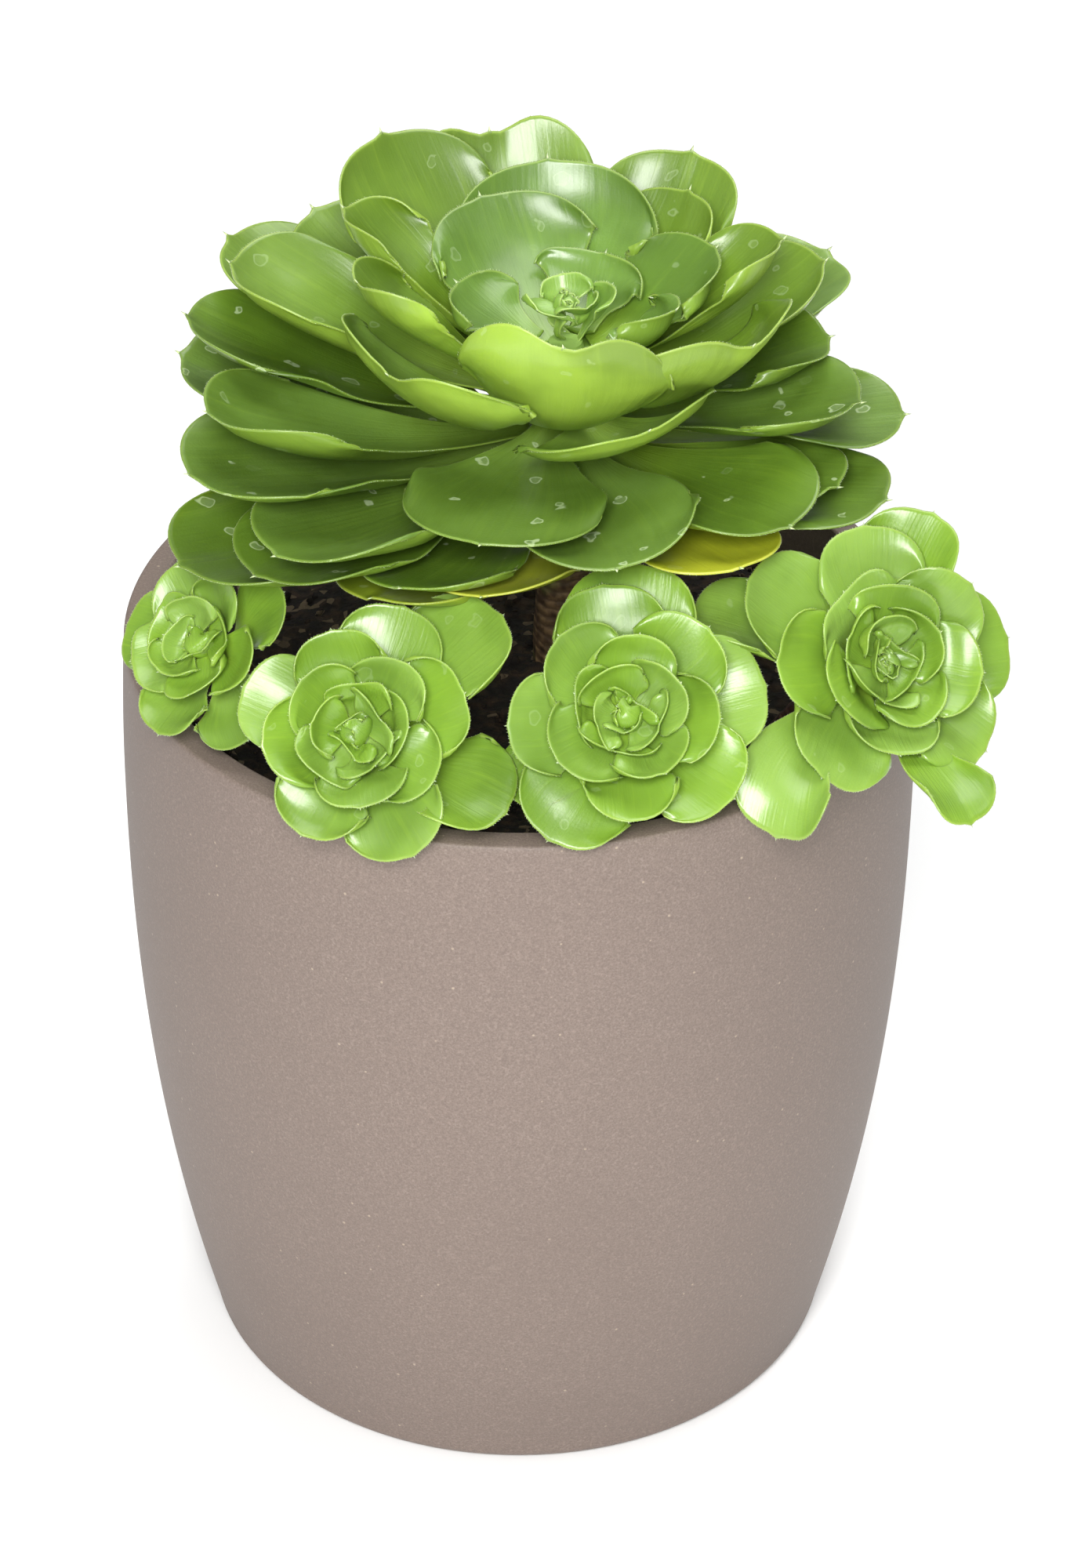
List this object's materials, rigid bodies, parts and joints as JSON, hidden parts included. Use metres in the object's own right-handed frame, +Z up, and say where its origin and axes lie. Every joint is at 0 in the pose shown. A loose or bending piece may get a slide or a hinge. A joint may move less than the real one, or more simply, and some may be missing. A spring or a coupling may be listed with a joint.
{
  "type": "potted succulent",
  "caption": "Rosette succulent with broad spoon-shaped green leaves and small side rosettes, growing in soil in a tapered round matt taupe pot.",
  "frame": {"origin": "centre of the pot's flat base", "axes": "+Z up from the base through the pot's mouth, -Y towards the plant's front, where three side rosettes hang over the rim; +X to the viewer's right"},
  "size_m": [0.2434, 0.229, 0.3463],
  "materials": {
    "pot_taupe": "matt, finely speckled",
    "potting_soil": "loose, matt",
    "succulent_stem": "matt, scarred",
    "leaf_bud": "waxy satin",
    "leaf_inner": "waxy satin",
    "leaf_bowl": "waxy satin",
    "leaf_outer": "waxy satin",
    "leaf_back": "waxy satin",
    "leaf_old": "dry satin",
    "leaf_offset": "waxy satin"
  },
  "bodies": {
    "root": {"pot": "pot_taupe", "potting_soil": "potting_soil", "main_stem": "succulent_stem", "central_bud": "leaf_bud", "inner_leaf_1": "leaf_inner", "inner_leaf_2": "leaf_inner", "inner_leaf_3": "leaf_inner", "inner_leaf_4": "leaf_inner", "inner_leaf_5": "leaf_inner", "inner_leaf_6": "leaf_inner", "bowl_leaf_1": "leaf_bowl", "bowl_leaf_2": "leaf_bowl", "bowl_leaf_3": "leaf_bowl", "bowl_leaf_4": "leaf_bowl", "bowl_leaf_5": "leaf_bowl", "bowl_leaf_6": "leaf_bowl", "bowl_leaf_7": "leaf_bowl", "bowl_leaf_8": "leaf_bowl", "bowl_leaf_9": "leaf_bowl", "bowl_leaf_10": "leaf_bowl", "bowl_leaf_11": "leaf_bowl", "bowl_leaf_12": "leaf_bowl", "bowl_leaf_13": "leaf_bowl", "bowl_leaf_14": "leaf_bowl", "bowl_leaf_15": "leaf_bowl", "outer_leaf_1": "leaf_outer", "outer_leaf_2": "leaf_outer", "outer_leaf_3": "leaf_outer", "outer_leaf_4": "leaf_outer", "outer_leaf_5": "leaf_outer", "outer_leaf_6": "leaf_outer", "outer_leaf_7": "leaf_outer", "outer_leaf_8": "leaf_outer", "outer_leaf_9": "leaf_outer", "outer_leaf_10": "leaf_outer", "outer_leaf_11": "leaf_outer", "outer_leaf_12": "leaf_outer", "outer_leaf_13": "leaf_outer", "outer_leaf_14": "leaf_outer", "outer_leaf_15": "leaf_outer", "outer_leaf_16": "leaf_outer", "back_leaf_1": "leaf_back", "back_leaf_2": "leaf_back", "back_leaf_3": "leaf_back", "back_leaf_4": "leaf_back", "back_leaf_5": "leaf_back", "back_leaf_6": "leaf_back", "old_leaf_1": "leaf_old", "old_leaf_2": "leaf_old", "old_leaf_3": "leaf_old", "offset_left_stem": "succulent_stem", "offset_left_rosette": "leaf_offset", "offset_front_left_stem": "succulent_stem", "offset_front_left_rosette": "leaf_offset", "offset_front_right_stem": "succulent_stem", "offset_front_right_rosette": "leaf_offset", "offset_right_stem": "succulent_stem", "offset_right_rosette": "leaf_offset"}
  },
  "joints": []
}
